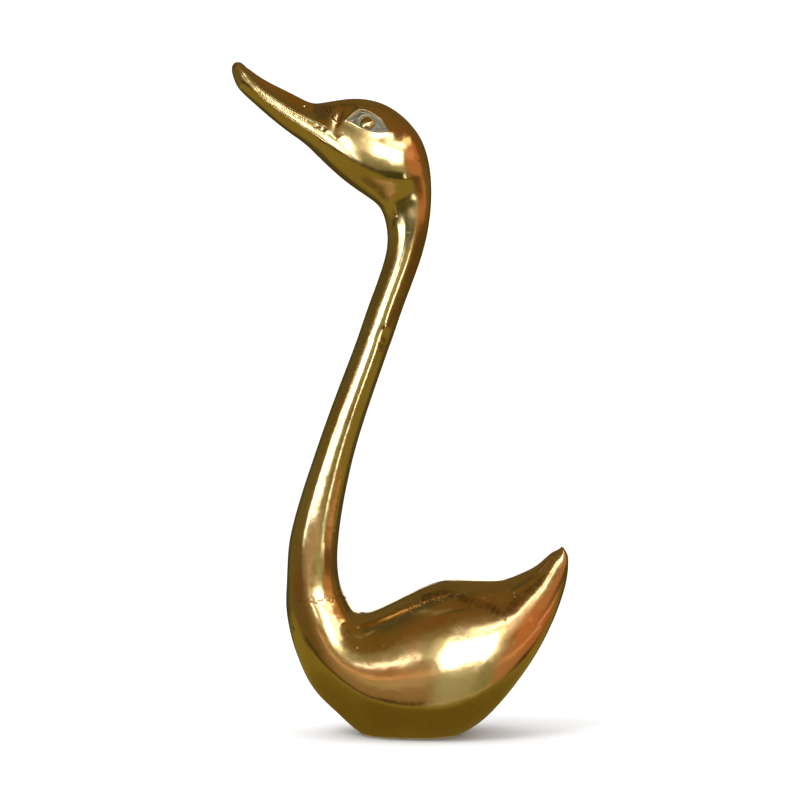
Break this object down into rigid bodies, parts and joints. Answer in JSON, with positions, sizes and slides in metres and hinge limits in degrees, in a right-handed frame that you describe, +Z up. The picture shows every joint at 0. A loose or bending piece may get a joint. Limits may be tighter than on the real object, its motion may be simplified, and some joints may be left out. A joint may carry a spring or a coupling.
{
  "type": "swan sculpture",
  "caption": "Standing brass swan sculpture with a raised bill, long S-curved neck, smooth wingless body and a small flat base.",
  "frame": {"origin": "centre of the bounding box at the flat underside", "axes": "+Z up along the neck, bill towards -X, tail towards +X, plane of symmetry Y = 0"},
  "size_m": [0.2524, 0.1088, 0.5033],
  "materials": {
    "brass": "polished cast brass, hand-buffed, with small casting pits"
  },
  "bodies": {
    "root": {"swan": "brass"}
  },
  "joints": []
}
